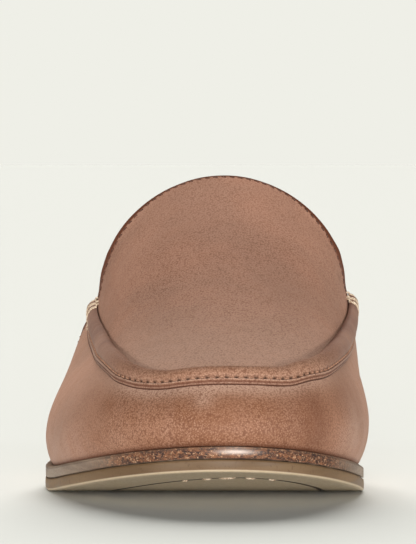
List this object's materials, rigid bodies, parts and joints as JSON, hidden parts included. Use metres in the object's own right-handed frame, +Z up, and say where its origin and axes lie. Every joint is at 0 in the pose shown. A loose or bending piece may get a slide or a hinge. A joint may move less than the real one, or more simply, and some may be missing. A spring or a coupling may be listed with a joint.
{
  "type": "mule shoe",
  "caption": "Flat leather slip-on mule for the right foot, open behind the vamp, with a moccasin apron, a raised rolled seam and a low stacked heel.",
  "frame": {"origin": "on the ground, under the centre of the shoe's bounding box", "axes": "+Y from the toe to the heel, +X to the big-toe side, +Z up"},
  "size_m": [0.0934, 0.262, 0.0906],
  "materials": {
    "upper_leather": "waxed nubuck tan leather, worn lighter and darker in patches",
    "midsole_leather": "burnished brown leather edge, distressed at the toe",
    "outsole_leather": "pale tan leather sole, matt",
    "heel_leather": "stacked leather, burnished",
    "lift_rubber": "matt brown rubber",
    "insole_leather": "smooth natural leather",
    "lining_leather": "soft natural lining leather",
    "thread": "waxed cream thread",
    "seam_thread": "waxed dark brown thread"
  },
  "bodies": {
    "root": {"outsole": "outsole_leather", "midsole": "midsole_leather", "heel_block": "heel_leather", "heel_top_lift": "lift_rubber", "insole": "insole_leather", "upper": "upper_leather", "apron_roll": "upper_leather"}
  },
  "joints": []
}
